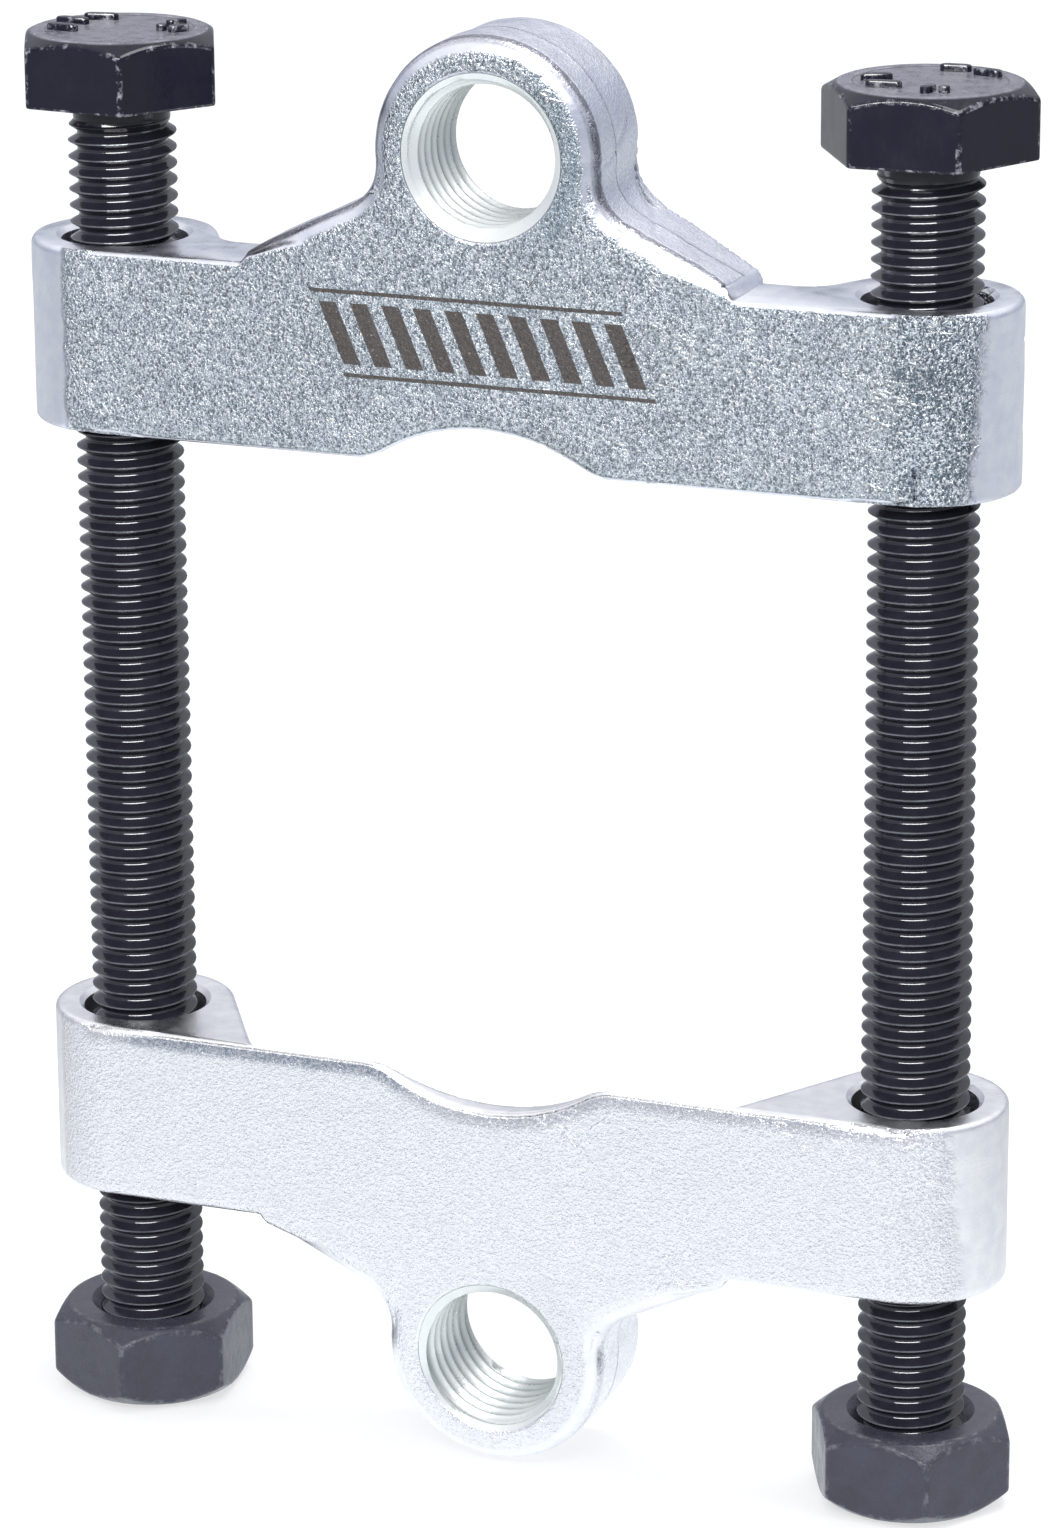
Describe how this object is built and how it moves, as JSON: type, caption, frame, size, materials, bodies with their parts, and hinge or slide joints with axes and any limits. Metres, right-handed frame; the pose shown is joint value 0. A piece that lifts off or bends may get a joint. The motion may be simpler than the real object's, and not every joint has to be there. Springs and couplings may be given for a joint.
{
  "type": "two-yoke bolt clamp",
  "caption": "Two forged steel yokes with threaded eyes, sliding on long hexagon bolts and drawn together by nuts.",
  "frame": {"origin": "midway between the two bolt axes, at the height of the nuts' lower faces", "axes": "+Z along the bolts towards their heads, +X along the yokes towards the right bolt, -Y towards the yokes' flat front faces"},
  "size_m": [0.0961, 0.0196, 0.1341],
  "materials": {
    "zinc_forging": "bright zinc over a shot-blasted forging",
    "black_bolt": "black oxide, lightly oiled",
    "grey_nut": "dark grey phosphate, satin"
  },
  "bodies": {
    "upper_yoke": {"upper_yoke": "zinc_forging"},
    "lower_yoke": {"lower_yoke": "zinc_forging"},
    "left_bolt": {"left_bolt": "black_bolt"},
    "right_bolt": {"right_bolt": "black_bolt"},
    "left_nut": {"left_nut": "grey_nut"},
    "right_nut": {"right_nut": "grey_nut"}
  },
  "joints": [
    {"name": "left_bolt_spin", "type": "hinge", "parent": "upper_yoke", "child": "left_bolt", "pos_m": [-0.03825, 0, 0.125], "axis": [0, 0, -1], "range_deg": [0, 13320]},
    {"name": "right_bolt_spin", "type": "hinge", "parent": "upper_yoke", "child": "right_bolt", "pos_m": [0.03825, 0, 0.125], "axis": [0, 0, -1], "range_deg": [0, 13321]},
    {"name": "left_nut_travel", "type": "slide", "parent": "upper_yoke", "child": "left_nut", "axis": [0, 0, 1], "range_m": [0, 0.05551]},
    {"name": "right_nut_travel", "type": "slide", "parent": "upper_yoke", "child": "right_nut", "axis": [0, 0, 1], "range_m": [0, 0.05551]},
    {"name": "lower_yoke_float", "type": "slide", "parent": "left_nut", "child": "lower_yoke", "axis": [0, 0, 1], "range_m": [-0.0134, 0.0015]}
  ],
  "couplings": [
    {"joint": "right_bolt_spin", "follows": "left_bolt_spin", "ratio": 1},
    {"joint": "left_nut_travel", "follows": "left_bolt_spin", "m_per_rad": 0.00023873},
    {"joint": "right_nut_travel", "follows": "left_bolt_spin", "m_per_rad": 0.00023873}
  ]
}
